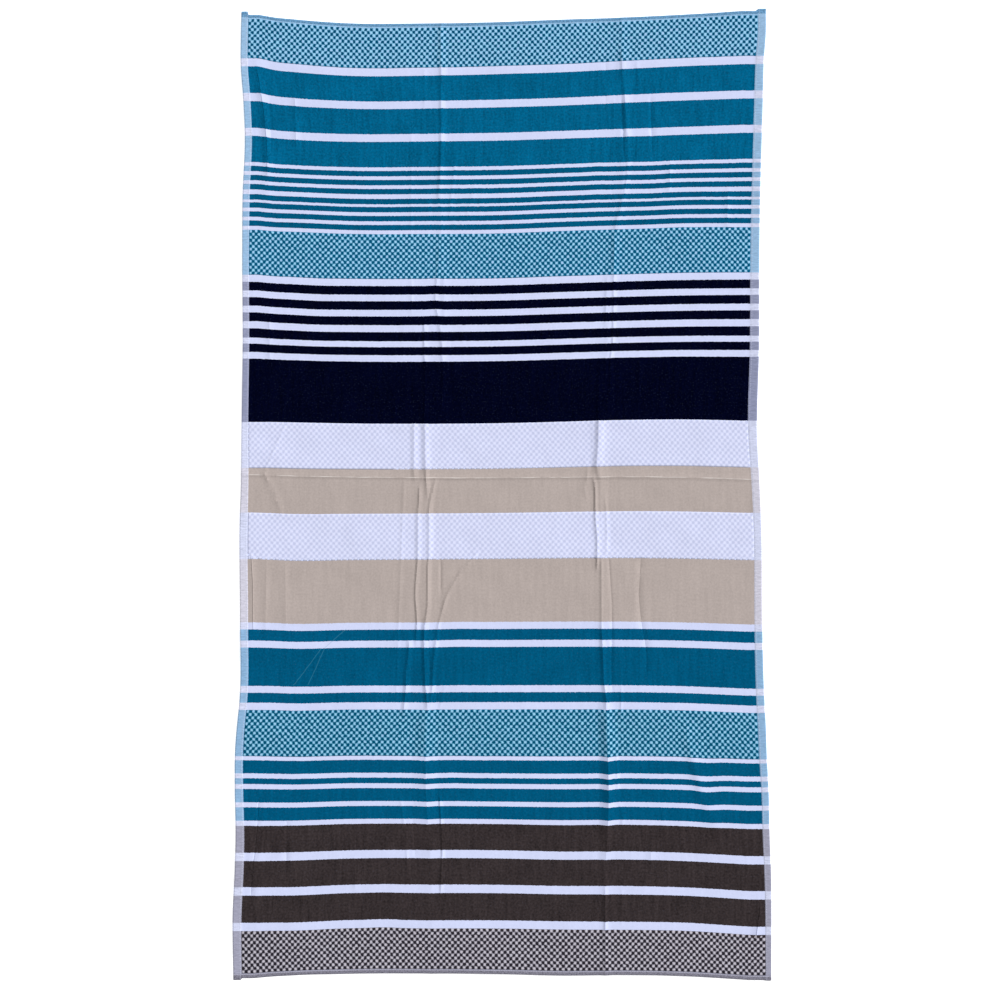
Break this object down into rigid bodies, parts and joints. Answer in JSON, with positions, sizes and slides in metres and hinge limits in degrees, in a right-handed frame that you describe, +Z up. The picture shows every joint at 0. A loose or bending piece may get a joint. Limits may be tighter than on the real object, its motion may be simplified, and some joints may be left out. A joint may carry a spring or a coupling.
{
  "type": "beach towel",
  "caption": "Woven cotton beach towel lying flat, with colour stripes, check bands, turned hems and packing folds.",
  "frame": {"origin": "middle of the towel's footprint, on the surface it lies on", "axes": "+Y along the towel towards its teal end, +X to the right seen from above, +Z up out of the cloth's face"},
  "size_m": [0.9188, 1.676, 0.0106],
  "materials": {
    "woven_cotton": "matt yarn-dyed woven cotton"
  },
  "bodies": {
    "root": {"towel": "woven_cotton"}
  },
  "joints": []
}
